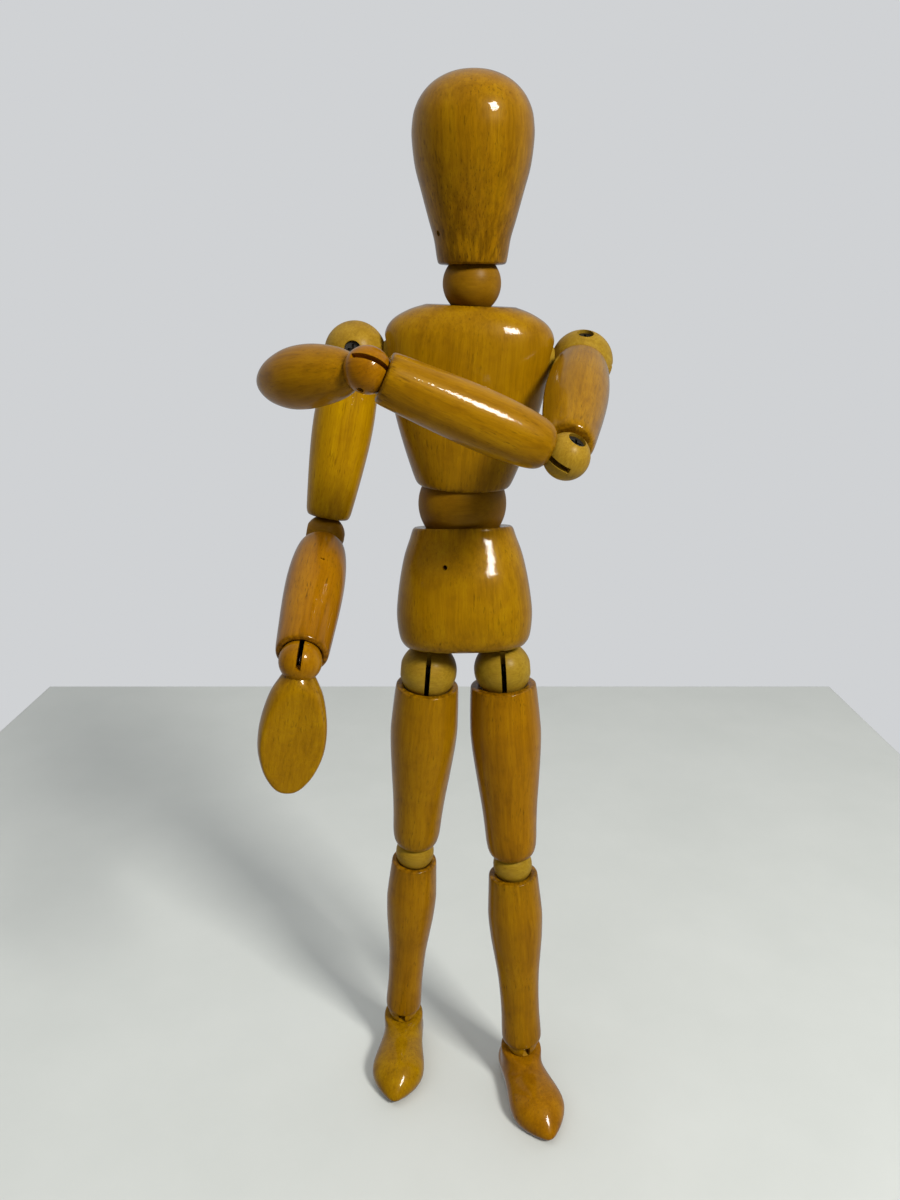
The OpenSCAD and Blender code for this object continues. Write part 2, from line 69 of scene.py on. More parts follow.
POSE = {
    -1: dict(swing=10, lift=8.5, eturn=5.5, ebend=57.5, wturn=-3.5, wbend=61.5,
             spread=5.7, hip=13.6, toe=4),
    1: dict(swing=68.5, lift=9.5, eturn=-67, ebend=82.5, wturn=-60, wbend=-51,
            spread=2.5, hip=6.9, toe=15),
}
M = {}
M["pelvis"] = T(*BASE) @ R("Y", -1.2) @ R("X", -9)
M["waist"] = M["pelvis"] @ T(0, 0, 48.3)
M["chest"] = T(*M["waist"].translation) @ R("Y", 2.2) @ R("X", 2)
M["neck"] = M["chest"] @ T(0, 0, 59)
M["head"] = T(*M["neck"].translation) @ R("X", 2)
for s, side in ((-1, "right"), (1, "left")):
    q = POSE[s]
    m = M["chest"] @ T(s * 30.6, 0, 40.3) @ R("X", -q["swing"])
    chestward = Matrix(((0, 0, -s, 0), (-s, 0, 0, 0), (0, 1, 0, 0), (0, 0, 0, 1)))
    M["shoulder_" + side] = m @ chestward
    m = m @ R("Y", q["lift"])
    M["upper_arm_" + side] = m
    m = m @ T(0, 0, -50) @ R("Z", q["eturn"])
    M["elbow_" + side] = m
    m = m @ R("X", -q["ebend"])
    M["forearm_" + side] = m
    m = m @ T(0, 0, -49) @ R("Z", q["wturn"]) @ R("X", q["wbend"])
    M["hand_" + side] = m
    m = M["pelvis"] @ T(s * 10.8, 0, 0) @ R("Y", -s * q["spread"])
    M["hip_" + side] = m
    m = m @ R("X", q["hip"])
    M["thigh_" + side] = m
    m = m @ T(0, 0, -64)
    M["knee_" + side] = m
    a = (m @ T(0, 0, -65)).translation
    M["foot_" + side] = T(a.x, a.y, 15) @ R("Z", s * q["toe"])


# ------------------------------------------------------------------ mesh tools
def soft(pts, n):
    """Catmull-Rom curve through rows of numbers."""
    p = [np.array(x, float) for x in pts]
    out = []
    for i in range(len(p) - 1):
        a, b, c, d = p[max(i - 1, 0)], p[i], p[i + 1], p[min(i + 2, len(p) - 1)]
        for k in range(n):
            t = k / n
            out.append(0.5 * (2 * b + (c - a) * t + (2 * a - 5 * b + 4 * c - d) * t * t
                              + (3 * b - a - 3 * c + d) * t ** 3))
    out.append(p[-1])
    return out


def rings_mesh(name, rings, loop=False):
    """Mesh from rings of points; a ring of one point is a pole."""
    verts, faces, start = [], [], []
    for r in rings:
        start.append(len(verts))
        verts.extend(tuple(float(c) * MM for c in v) for v in r)
    pairs = list(range(len(rings) - 1))
    n_all = len(rings)
    for i in pairs + ([n_all - 1] if loop else []):
        j = (i + 1) % n_all
        a, b, na, nb = start[i], start[j], len(rings[i]), len(rings[j])
        if na == 1 and nb == 1:
            continue
        if na == 1:
            faces.extend((a, b + (k + 1) % nb, b + k) for k in range(nb))
        elif nb == 1:
            faces.extend((a + k, a + (k + 1) % na, b) for k in range(na))
        else:
            faces.extend((a + k, a + (k + 1) % na, b + (k + 1) % na, b + k) for k in range(na))
    me = bpy.data.meshes.new(name)
    me.from_pydata(verts, [], faces)
    bm = bmesh.new()
    bm.from_mesh(me)
    bmesh.ops.recalc_face_normals(bm, faces=bm.faces)
    bm.to_mesh(me)
    bm.free()
    me.update()
    return me


def circle(r, z, n):
    if r < 1e-6:
        return [(0.0, 0.0, z)]
    return [(r * math.cos(2 * math.pi * k / n), r * math.sin(2 * math.pi * k / n), z)
            for k in range(n)]


def lathe(name, profile, n=112, loop=False):
    return rings_mesh(name, [circle(r, z, n) for r, z in profile], loop)


def object_of(me, name):
    ob = bpy.data.objects.new(name, me)
    scene.collection.objects.link(ob)
    return ob


def cutter(me):
    """A cutting solid; its walls take the second material."""
    for p in me.polygons:
        p.material_index = 1
    return me


def prism(outline, w):
    """Flat outline of (y, z) points, w thick along X."""
    n = len(outline)
    verts = [(-w / 2 * MM, y * MM, z * MM) for y, z in outline]
    verts += [(w / 2 * MM, y * MM, z * MM) for y, z in outline]
    faces = [tuple(range(n)), tuple(range(2 * n - 1, n - 1, -1))]
    faces += [(k, (k + 1) % n, n + (k + 1) % n, n + k) for k in range(n)]
    me = bpy.data.meshes.new("cut")
    me.from_pydata(verts, [], faces)
    bm = bmesh.new()
    bm.from_mesh(me)
    bmesh.ops.recalc_face_normals(bm, faces=bm.faces)
    bm.to_mesh(me)
    bm.free()
    return cutter(me)


def rod(r, z0, z1, m=None, n=40):
    me = lathe("cut", [(0, z0), (r, z0), (r, z1), (0, z1)], n)
    if m is not None:
        k = m.copy()
        k.translation = k.translation * MM
        me.transform(k)
    return cutter(me)


def ball_cut(r, at, n=96):
    rows = [(r * math.sin(t), r * math.cos(t)) for t in np.linspace(0, math.pi, n // 2)]
    rows[0], rows[-1] = (0, r), (0, -r)
    me = lathe("cut", rows, n)
    me.transform(Matrix.Translation(Vector(at) * MM))
    return me


def carve(me, cuts, name):
    """Takes each cutting mesh away from me."""
    ob = object_of(me, name + "_raw")
    ob.data.materials.append(None)
    ob.data.materials.append(None)
    for i, c in enumerate(cuts):
        co = object_of(c, f"{name}_cut{i}")
        c.materials.append(None)
        c.materials.append(None)
        md = ob.modifiers.new("cut", "BOOLEAN")
        md.object, md.operation, md.solver = co, "DIFFERENCE", "EXACT"
        dg = bpy.context.evaluated_depsgraph_get()
        dg.update()
        new = bpy.data.meshes.new_from_object(ob.evaluated_get(dg))
        ob.modifiers.clear()
        old = ob.data
        ob.data = new
        bpy.data.meshes.remove(old)
        bpy.data.objects.remove(co)
        bpy.data.meshes.remove(c)
    out = ob.data
    bpy.data.objects.remove(ob)
    out.name = name
    bm = bmesh.new()
    bm.from_mesh(out)
    bmesh.ops.remove_doubles(bm, verts=bm.verts, dist=4e-6)
    bmesh.ops.dissolve_degenerate(bm, edges=bm.edges, dist=1e-6)
    gaps = [e for e in bm.edges if len(e.link_faces) == 1]
    if gaps:
        bmesh.ops.holes_fill(bm, edges=gaps, sides=0)
    # slivers folded onto themselves by the cut are taken out in pairs
    bmesh.ops.triangulate(bm, faces=[f for f in bm.faces if len(f.verts) > 4])
    bm.verts.index_update()
    twins = {}
    for f in bm.faces:
        twins.setdefault(frozenset(v.index for v in f.verts), []).append(f)
    folded = [f for pair in twins.values() if len(pair) == 2 for f in pair]
    if folded:
        bmesh.ops.delete(bm, geom=folded, context="FACES")
    bm.to_mesh(out)
    bm.free()
    return out


def finish_piece(me, name, frame_key, body, node, mats, tint, crease=34):
    """Puts a mesh in its frame, on its body, with its materials."""
    for p in me.polygons:
        p.use_smooth = True
    me.set_sharp_from_angle(angle=math.radians(crease))
    me.materials.clear()
    for m in mats:
        me.materials.append(m)
    ob = object_of(me, name)
    k = M[frame_key].copy()
    k.translation = k.translation * MM
    ob.matrix_world = k
    ob.color = tint
    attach(ob, body)
    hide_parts(node)
    return ob


# how red the stain took on each piece
STAIN = {"look_head": 0.36, "look_chest": 0.22, "look_pelvis": 0.18, "look_upper_arm_right": 0.0,
         "look_upper_arm_left": 0.3, "look_forearm_right": 0.87, "look_forearm_left": 0.35,
         "look_hand_right": 0.16, "look_hand_left": 0.5, "look_thigh_right": 0.36,
         "look_thigh_left": 0.66, "look_shin_right": 0.52, "look_shin_left": 0.46,
         "look_foot_right": 0.0, "look_foot_left": 0.8, "look_wrist_ball_right": 0.7,
         "look_wrist_ball_left": 0.95, "look_shoulder_ball_right": 0.5, "look_shoulder_ball_left": 0.35,
         "look_elbow_ball_left": 0.5, "look_hip_ball_right": 0.35, "look_hip_ball_left": 0.25,
         "look_knee_ball_right": 0.4, "look_knee_ball_left": 0.3}


def tint_of(i, name):
    """A fixed set of numbers per piece: grain offset and stain."""
    return ((i * 0.37) % 1.0, (i * 0.61 + 0.13) % 1.0, (i * 0.23 + 0.41) % 1.0, STAIN.get(name, 0.3))


# ------------------------------------------------------------------- materials
class Graph:
    def __init__(self, name):
        self.mat = bpy.data.materials.new(name)
        self.mat.use_nodes = True
        self.nt = self.mat.node_tree
        self.nt.nodes.clear()
        self.out = self.nt.nodes.new("ShaderNodeOutputMaterial")
        self.bsdf = self.nt.nodes.new("ShaderNodeBsdfPrincipled")
        self.nt.links.new(self.bsdf.outputs[0], self.out.inputs["Surface"])

    def link(self, a, b):
        self.nt.links.new(a, b)

    def set(self, **kw):
        for k, v in kw.items():
            self.bsdf.inputs[k.replace("_", " ")].default_value = v

    def vec(self, op, a, b):
        n = self.nt.nodes.new("ShaderNodeVectorMath")
        n.operation = op
        self._in(n.inputs[0], a)
        self._in(n.inputs[1], b)
        return n.outputs[0]

    def _in(self, socket, v):
        if hasattr(v, "is_output"):
            self.link(v, socket)
        else:
            socket.default_value = v

    def math(self, op, a, b=0.0, clamp=False):
        n = self.nt.nodes.new("ShaderNodeMath")
        n.operation = op
        n.use_clamp = clamp
        self._in(n.inputs[0], a)
        self._in(n.inputs[1], b)
        return n.outputs[0]

    def noise(self, vec, scale, detail=4.0, rough=0.55, dist=0.0):
        n = self.nt.nodes.new("ShaderNodeTexNoise")
        n.inputs["Scale"].default_value = scale
        n.inputs["Detail"].default_value = detail
        n.inputs["Roughness"].default_value = rough
        n.inputs["Distortion"].default_value = dist
        self.link(vec, n.inputs["Vector"])
        return n.outputs["Fac"]

    def ramp(self, fac, stops):
        n = self.nt.nodes.new("ShaderNodeValToRGB")
        e = n.color_ramp.elements
        while len(e) < len(stops):
            e.new(0.5)
        for el, (pos, col) in zip(e, stops):
            el.position = pos
            el.color = (*col, 1.0) if len(col) == 3 else col
        self.link(fac, n.inputs["Fac"])
        return n.outputs["Color"]

    def remap(self, v, a, b, c, d):
        n = self.nt.nodes.new("ShaderNodeMapRange")
        n.inputs["From Min"].default_value = a
        n.inputs["From Max"].default_value = b
        n.inputs["To Min"].default_value = c
        n.inputs["To Max"].default_value = d
        self.link(v, n.inputs["Value"])
        return n.outputs["Result"]

    def mix(self, fac, a, b, mode="MIX"):
        n = self.nt.nodes.new("ShaderNodeMix")
        n.data_type = "RGBA"
        n.blend_type = mode
        self._in(n.inputs[0], fac)
        self._in(n.inputs[6], a)
        self._in(n.inputs[7], b)
        return n.outputs[2]

    def coords(self):
        """Object coordinates in millimetres, shifted by the piece's own numbers."""
        t = self.nt.nodes.new("ShaderNodeTexCoord")
        o = self.nt.nodes.new("ShaderNodeObjectInfo")
        mm = self.vec("SCALE", t.outputs["Object"], (0, 0, 0))
        mm.node.inputs["Scale"].default_value = 1000.0
        off = self.vec("SCALE", o.outputs["Color"], (0, 0, 0))
        off.node.inputs["Scale"].default_value = 150.0
        return self.vec("ADD", mm, off), mm, o

    def attr(self, name):
        n = self.nt.nodes.new("ShaderNodeAttribute")
        n.attribute_name = name
        return n.outputs["Fac"]

    def bump(self, height, strength, distance, normal=None):
        n = self.nt.nodes.new("ShaderNodeBump")
        n.inputs["Strength"].default_value = strength
        n.inputs["Distance"].default_value = distance
        self.link(height, n.inputs["Height"])
        if normal is not None:
            self.link(normal, n.inputs["Normal"])
        return n.outputs["Normal"]


def wood(name, axis, dark, mid, light, rough, coat, coat_rough, streak=1.0, pores=1.0,
         mottle=1.0, red=(0.25, 0.06, 0.0), rim_dark=0.6, bump=1.0):
    """Wood with the grain along one local axis under a finish."""
    g = Graph(name)
    p, mm, info = g.coords()
    along = {"X": (0, 1, 1), "Z": (1, 1, 0)}[axis]

    def stretch(across, lengthways):
        return g.vec("MULTIPLY", p, tuple(across if a else lengthways for a in along))

    warp = g.nt.nodes.new("ShaderNodeTexNoise")
    warp.inputs["Scale"].default_value = 0.05
    warp.inputs["Detail"].default_value = 2.0
    g.link(p, warp.inputs["Vector"])
    bent = g.vec("SCALE", g.vec("SUBTRACT", warp.outputs["Color"], (0.5, 0.5, 0.5)), (0, 0, 0))
    bent.node.inputs["Scale"].default_value = 3.0

    def grain(across, lengthways, detail, rgh):
        v = g.vec("ADD", p, bent)
        v = g.vec("MULTIPLY", v, tuple(across if a else lengthways for a in along))
        return g.noise(v, 1.0, detail, rgh)

    broad = grain(0.30, 0.010, 3.0, 0.5)
    lines = grain(1.5, 0.03, 6.0, 0.66)
    fibre = grain(4.2, 0.11, 3.0, 0.6)
    dash = g.noise(stretch(2.3, 0.30), 1.0, 2.0, 0.5)
    fleck = g.noise(stretch(3.8, 0.75), 1.0, 2.0, 0.5)
    smear = grain(0.85, 0.05, 4.0, 0.6)
    cloud = g.noise(p, 0.075, 4.0, 0.55)
    cloud2 = g.noise(p, 0.23, 3.0, 0.6)

    f = g.math("MULTIPLY", broad, 0.34)
    f = g.math("ADD", f, g.math("MULTIPLY", lines, 0.42 * streak))
    f = g.math("ADD", f, g.math("MULTIPLY", fibre, 0.18 * streak))
    f = g.math("ADD", f, g.math("MULTIPLY", cloud, 0.26 * mottle))
    mean = 0.5 * (0.34 + 0.60 * streak + 0.26 * mottle)
    f = g.remap(f, mean - 0.23, mean + 0.23, 0.0, 1.0)
    col = g.ramp(f, [(0.0, dark), (0.5, mid), (1.0, light)])
    col = g.mix(info.outputs["Alpha"], col, (1.0, 0.76, 0.76, 1.0), "MULTIPLY")
    # redder stain patches
    patch = g.remap(cloud2, 0.5, 0.78, 0.0, 0.40 * mottle)
    col = g.mix(patch, col, (*red, 1.0))
    # darker near turned rims, drawn out along the grain: stain gathered at the rim, plus painted shade in
    # the broad levels
    stain_and_shade_level = g.attr("rim")
    rim = g.math("MULTIPLY", stain_and_shade_level, g.remap(smear, 0.39, 0.61, 0.1, 1.25))
    rim = g.math("MULTIPLY", rim, rim_dark, clamp=True)
    col = g.mix(rim, col, tuple(0.28 * c for c in red) + (1.0,))
    # short dark pores along the grain, thicker where the stain and the painted rim shade are
    thick = g.math("ADD", g.remap(cloud, 0.42, 0.62, 0.25, 1.0), g.math("MULTIPLY", stain_and_shade_level, 0.7))
    pore = g.math("ADD", g.remap(dash, 0.60, 0.72, 0.0, 0.56 * pores),
                  g.remap(fleck, 0.63, 0.74, 0.0, 0.44 * pores))
    pore = g.math("MULTIPLY", pore, thick, clamp=True)
    col = g.mix(pore, col, tuple(0.30 * c for c in red) + (1.0,))
    g.link(col, g.bsdf.inputs["Base Color"])
    r = g.math("ADD", g.remap(lines, 0.3, 0.7, rough - 0.05, rough + 0.06),
               g.remap(cloud2, 0.3, 0.7, -0.03, 0.05))
    g.link(r, g.bsdf.inputs["Roughness"])
    h = g.math("ADD", g.math("MULTIPLY", lines, 0.5), g.math("MULTIPLY", fibre, 0.5))
    h = g.math("SUBTRACT", h, g.math("MULTIPLY", pore, 0.6))
    # small dents on sawn flats
    dent = g.math("MULTIPLY", g.remap(g.noise(p, 0.75, 3.0, 0.6), 0.52, 0.70, 0.0, 2.6), g.attr("flat"))
    h = g.math("SUBTRACT", h, dent)
    n1 = g.bump(h, 0.30 * bump, 0.00006)
    skin = g.noise(p, 1.5, 3.0, 0.55)
    n2 = g.bump(skin, 0.35 * bump, 0.00003, n1)
    g.link(n2, g.bsdf.inputs["Normal"])
    if coat > 0:
        # lacquer film: slow waves, faint grain and the dents of sawn flats
        film = g.math("ADD", g.noise(p, 0.8, 2.0, 0.5), g.math("MULTIPLY", lines, 0.12))
        film = g.math("SUBTRACT", film, g.math("MULTIPLY", dent, 0.3))
        g.link(g.bump(film, 0.5 * bump, 0.0001), g.bsdf.inputs["Coat Normal"])
        g.set(Coat_Weight=coat, Coat_Roughness=coat_rough, Coat_IOR=1.26)
    g.set(Specular_IOR_Level=0.12, Specular_Tint=(1.0, 0.72, 0.3, 1.0))
    return g.mat


LACQUER = wood("lacquered_wood", "Z", (0.150, 0.064, 0.0003), (0.276, 0.138, 0.0004),
               (0.385, 0.214, 0.0006), 0.34, 1.0, 0.06, red=(0.17, 0.064, 0.0003))
# a brighter copy of the lacquer: painted light on the right upper arm
LACQUER_PAINTED_LIT = wood("lacquered_wood_light", "Z", (0.200, 0.088, 0.0003), (0.365, 0.186, 0.0004),
             (0.49, 0.275, 0.0006), 0.34, 1.0, 0.06, red=(0.22, 0.086, 0.0003))
SATIN = wood("amber_wood", "X", (0.12, 0.052, 0.001), (0.215, 0.105, 0.002),
             (0.30, 0.16, 0.004), 0.45, 0.25, 0.32, streak=0.9, pores=0.5, mottle=0.8,
             red=(0.23, 0.095, 0.002), rim_dark=0.3, bump=0.8)
PALE = wood("bare_wood", "X", (0.170, 0.103, 0.005), (0.290, 0.186, 0.012),
            (0.40, 0.28, 0.026), 0.46, 0.3, 0.28, streak=1.3, pores=0.6, mottle=0.8,
            red=(0.28, 0.14, 0.02), rim_dark=0.3, bump=0.8)


def plain(name, dark, light, rough, metal=0.0, scale=2.0, bump=0.4):
    g = Graph(name)
    p, mm, info = g.coords()
    a = g.noise(p, scale, 5.0, 0.6)
    b = g.noise(p, scale * 5, 3.0, 0.5)
    f = g.math("ADD", g.math("MULTIPLY", a, 0.65), g.math("MULTIPLY", b, 0.35))
    g.link(g.ramp(f, [(0.3, dark), (0.7, light)]), g.bsdf.inputs["Base Color"])
    g.link(g.remap(b, 0.3, 0.7, rough - 0.1, rough + 0.1), g.bsdf.inputs["Roughness"])
    g.link(g.bump(f, bump, 0.00005), g.bsdf.inputs["Normal"])
    g.set(Metallic=metal)
    return g.mat


# near-black walls in saw slots and holes: painted shade inside them
KERF_PAINTED_SHADE = plain("saw_kerf", (0.006, 0.004, 0.002), (0.022, 0.013, 0.006), 0.85)
SOCKET = plain("socket_wood", (0.10, 0.045, 0.006), (0.20, 0.10, 0.02), 0.75)
STEEL = plain("steel_dull", (0.05, 0.05, 0.045), (0.16, 0.155, 0.14), 0.42, 1.0, 3.0)
WIRE = plain("steel_wire", (0.25, 0.25, 0.25), (0.45, 0.45, 0.44), 0.35, 1.0, 4.0)


# --------------------------------------------------------------------- profiles
HEAD = [(7.5, 4.6), (8.7, 4.9), (9.2, 6.2), (10, 11), (11.3, 15.5), (13.1, 22), (14.7, 28),
        (15.4, 34), (15.3, 37.4), (14.6, 40.8), (12.7, 44.2), (9.6, 47), (5.3, 48.9), (0, 49.5)]
UPPER_ARM = [(6.6, 5), (7.1, 5.2), (7.4, 6.2), (7.9, 11), (8.2, 17), (8.1, 23), (7.6, 30),
             (6.9, 37), (6.4, 41.5), (6.1, 43.6), (5.6, 44.8), (4.8, 45.2)]
FOREARM = [(4.1, 4.4), (5.5, 5.8), (6.3, 8.2), (6.95, 13), (7.25, 19), (7.2, 25), (6.95, 31),
           (6.6, 37), (6.3, 42), (6.1, 44.2), (5.8, 45), (5.1, 45.3)]
HAND = [(3.8, 3.4), (4.7, 4.9), (6.4, 8.4), (7.7, 13.5), (8.25, 18.5), (7.9, 23.5), (6.3, 28.5),
        (4.2, 31.9), (2.3, 33.6), (0, 34.2)]
THIGH = [(8, 4.6), (8.9, 4.8), (9.2, 5.6), (9.5, 9), (9.85, 15), (10, 20), (9.7, 26), (8.9, 35),
         (8.1, 43), (7.6, 50), (7.35, 55), (6.9, 58.2), (6.1, 59.9), (5.5, 60.3)]
SHIN = [(6.1, 3), (6.8, 3.2), (7.1, 4), (7.4, 8), (7.8, 14), (7.95, 18), (7.6, 25), (6.9, 32),
        (6.2, 39), (5.85, 46), (5.75, 53), (5.9, 59), (5.95, 62), (5.75, 63.4), (5.3, 63.9)]
FOOT = [(0, -9.7), (2.8, -9.3), (5, -7.9), (6.3, -5.4), (6.7, -3), (6.7, 0), (7, 4), (7.6, 8),
        (8.3, 12), (8.6, 15), (8.3, 18), (7, 21), (5, 23.8), (3, 26), (1.5, 27.4), (0, 28.2)]
CHEST = [(5.6, 12.3, 11.9), (6.5, 13.4, 12.6), (11, 15.2, 13.2), (18, 17.6, 13.8),
         (26, 19.9, 14.2), (34, 21.4, 14.5), (41, 22.5, 14.4), (46, 22.6, 13.9),
         (49.4, 20.6, 12.8), (52, 16.4, 11.2), (53.5, 12, 9.6)]
PELVIS = [(7.4, 15.6, 10.4, -2.6), (8.3, 17.2, 11.8, -2.6), (10.8, 18.6, 13.2, -2.6),
          (16, 19.3, 14.2, -2.4), (21, 19.1, 14.4, -2.1), (28, 18.1, 14.3, -1.5),
          (34, 16.8, 13.3, -0.5), (38.6, 15.2, 12.4, 0), (41, 14.4, 12.2, 0), (41.7, 13.8, 12, 0)]


def sized(pts, kr, kl=1.0):
    return [(p[0] * kr, p[1] * kl) for p in pts]


def dish(rim, r, c, inward, outward):
    """Rounded rim from an outer curve into a ball socket of radius r centred c along the axis.
    inward is +1 when the piece lies at larger distance than the socket's ball."""
    ang = math.atan2(rim[0], (rim[1] - c) * inward)
    a0 = ang - 0.06
    a1 = math.asin(BORE / r)
    pts = [(r * math.sin(t), c + inward * r * math.cos(t)) for t in np.linspace(a0, a1, 14)]
    corner = np.array(rim, float)
    first = np.array(pts[0])
    far = np.array(outward, float)
    edge = []
    for t in np.linspace(0, 1, 7)[:-1]:
        edge.append(tuple((1 - t) ** 2 * far + 2 * t * (1 - t) * corner + t * t * first))
    return edge, pts


def cut_by_ball(curve, r, c, from_start):
    """Clips an outer curve by a ball; returns the kept points, the crossing and the next point."""
    pts = [np.array(p, float) for p in curve]
    if not from_start:
        pts = pts[::-1]
    d = [math.hypot(p[0], p[1] - c) - r for p in pts]
    i = next(k for k in range(len(pts)) if d[k] > 0 and k > 0) if d[0] < 0 else 0
    if i == 0:
        # the end face lies outside the ball: walk in along the flat end to the ball
        z = pts[0][1]
        rim = np.array((math.sqrt(max(r * r - (z - c) ** 2, 0.01)), z))
        keep = pts
    else:
        t = d[i - 1] / (d[i - 1] - d[i])
        rim = pts[i - 1] + (pts[i] - pts[i - 1]) * t
        keep = pts[i:]
    # drop points too near the rim to leave room for the rounded edge
    while len(keep) > 2 and np.linalg.norm(keep[0] - rim) < 0.3:
        keep = keep[1:]
    return (keep if from_start else keep[::-1]), rim, keep[0]


def rim_stain_and_shade(me, levels):
    """Stores how darkened each point is near a turned rim, from distances along the axis (mm): narrow levels
    are stain gathered at the rim, broad levels are painted shade spreading from it.
    """
    z = np.array([v.co.z for v in me.vertices]) / MM
    stain_and_shade_level = np.zeros(len(z))
    for at, width, weight in levels:
        stain_and_shade_level = np.maximum(stain_and_shade_level, weight * np.exp(-np.abs(z - at) / width))
    a = me.attributes.new("rim", "FLOAT", "POINT")
    a.data.foreach_set("value", stain_and_shade_level.astype(np.float32))


def limb(name, pts, length, r_top, r_low, up=-1, cuts=()):
    """Turned limb with a socket at both ends and a bore between them."""
    curve = soft(pts, 8)
    rt, rl = r_top + GAP, r_low + GAP
    keep, rim0, nxt0 = cut_by_ball(curve, rt, 0.0, True)
    keep, rim1, nxt1 = cut_by_ball(keep, rl, length, False)
    e0, d0 = dish(rim0, rt, 0.0, 1, nxt0)
    e1, d1 = dish(rim1, rl, length, -1, nxt1)
    prof = d0[::-1] + e0[::-1] + [tuple(k) for k in keep[1:-1]] + e1 + d1
    me = lathe(name, [(r, up * d) for r, d in prof], 112, loop=True)
    if cuts:
        me = carve(me, list(cuts), name)
    # the broad levels paint shade near both ends
    rim_stain_and_shade(me, [(up * rim0[1], 1.0, 1), (up * rim1[1], 1.3, 1), (up * rim0[1], 5, 0.4),
                    (up * rim1[1], 6, 0.45)])
    return me


def head_mesh():
    curve = soft(HEAD, 8)
    keep, rim, nxt = cut_by_ball(curve, R_NECK + GAP, 0.0, True)
    e, d = dish(rim, R_NECK + GAP, 0.0, 1, nxt)
    prof = [(0, 16.0), (BORE, 16.0)] + d[::-1] + e[::-1] + [tuple(k) for k in keep[1:]]
    prof[-1] = (0, prof[-1][1])
    me = lathe("head", prof, 144)
    m = T(0, 0, 12) @ R("Z", -59) @ R("X", 90)
    me = carve(me, [rod(0.7, -20, 20, m)], "head")
    # the broad level paints shade over the lower head
    rim_stain_and_shade(me, [(rim[1], 1.6, 1), (rim[1], 24, 0.85)])
    return me


def oval(a, b, z, n, y=0.0):
    out = []
    for k in range(n):
        t = 2 * math.pi * k / n
        c, sn = math.cos(t), math.sin(t)
        out.append((a * math.copysign(abs(c) ** 0.87, c), y + b * math.copysign(abs(sn) ** 0.87, sn), z))
    return out


def blend_rings(a, b, t):
    return [tuple(np.array(p) * (1 - t) + np.array(q) * t) for p, q in zip(a, b)]


def trunk_end(row, r, c, inward, n, bore_to):
    """Rings from the end face of a trunk block into its ball socket and a closed bore."""
    z = row[0]
    edge = math.sqrt(r * r - (z - c) ** 2)
    outer = oval(row[1], row[2], z, n)
    rings = [blend_rings(outer, circle(edge + 0.25, z, n), t) for t in (0.25, 0.6, 1.0)]
    ang = math.asin(edge / r)
    for t in np.linspace(ang * 0.985, math.asin(BORE / r), 14):
        rings.append(circle(r * math.sin(t), c + inward * r * math.cos(t), n))
    rings += [circle(BORE, bore_to, n), circle(0, bore_to, n)]
    return rings


def chest_mesh():
    n = 144
    rows = soft(CHEST, 7)
    low = trunk_end(CHEST[0], R_WAIST + GAP, 0.0, 1, n, 30.0)
    top = trunk_end(CHEST[-1], R_NECK + GAP, 59.0, -1, n, 46.0)
    rings = low[::-1] + [oval(r[1], r[2], r[0], n) for r in rows] + top
    me = rings_mesh("chest", rings)
    cuts = []
    for s in (-1, 1):
        m = T(s * 20.6, 0, 40.3) @ R("Y", s * 90)
        cuts.append(rod(5.6, 0, 10, m, 72))
        cuts.append(rod(BORE, -12, 0.5, m, 40))
    for z in (31, 48):
        cuts.append(rod(0.7, 8, 30, T(0, 0, z) @ R("X", -90), 24))
    me = carve(me, cuts, "chest")
    # the broad level paints shade over the lower chest
    rim_stain_and_shade(me, [(5.6, 1.6, 1), (53.5, 0.6, 1), (5.6, 9, 0.45)])
    return me


def pelvis_mesh():
    n = 144
    rows = soft(PELVIS, 7)
    first = oval(PELVIS[0][1], PELVIS[0][2], 7.4, n, PELVIS[0][3])
    floor = [[(0.0, -2.6, 7.4)]] + [blend_rings(first, [(0, -2.6, 7.4)] * n, t)
                                  for t in (0.92, 0.75, 0.5, 0.25, 0.1)]
    top = trunk_end(PELVIS[-1], R_WAIST + GAP, 48.3, -1, n, 29.0)
    rings = floor + [oval(r[1], r[2], r[0], n, r[3]) for r in rows] + top
    me = rings_mesh("pelvis", rings)
    cuts = []
    for s in (-1, 1):
        cuts.append(ball_cut(R_HIP + GAP, (s * 10.8, 0, 0)))
        m = T(s * 10.8, 0, 0) @ R("Y", -s * POSE[s]["spread"])
        cuts.append(rod(BORE, 6, 20, m))
        cuts.append(rod(0.7, 15, 30, T(0, 0, 18) @ R("Y", s * 90), 24))
    cuts.append(rod(0.7, -25, 25, T(0, 0, 31.4) @ R("Z", -20) @ R("X", 90), 24))
    me = carve(me, cuts, "pelvis")
    rim_stain_and_shade(me, [(7.4, 1.2, 1), (41.7, 1.0, 1), (7.4, 6, 0.35)])
    return me


def bored_ball(name, r, hole, cone):
    """Ball with a through hole that opens as a cone at the top."""
    k = (cone - hole) / r
    z = 1.0
    while (hole + (z - 1) * k) ** 2 + z * z < r * r:
        z += 0.01
    t1 = math.acos(z / r)
    t0 = math.pi - math.asin(hole / r)
    prof = [(r * math.sin(t), r * math.cos(t)) for t in np.linspace(t1, t0, 60)]
    prof += [(hole, 1.0)]
    return lathe(name, prof, 112, loop=True)


def slot_cuts(r, a0, a1, w=KERF):
    """Saw slot from angle a0 to a1 with round room for the wire eye, as one outline."""
    def at(rad, a):
        return (-rad * math.sin(math.radians(a)), -rad * math.cos(math.radians(a)))

    outline = [at(2 * r, a) for a in np.linspace(a0, a1, 13)]
    outline += [at(2.1, a) for a in np.linspace(a1, a0 + 360, 31)]
    return [prism(outline, w)]


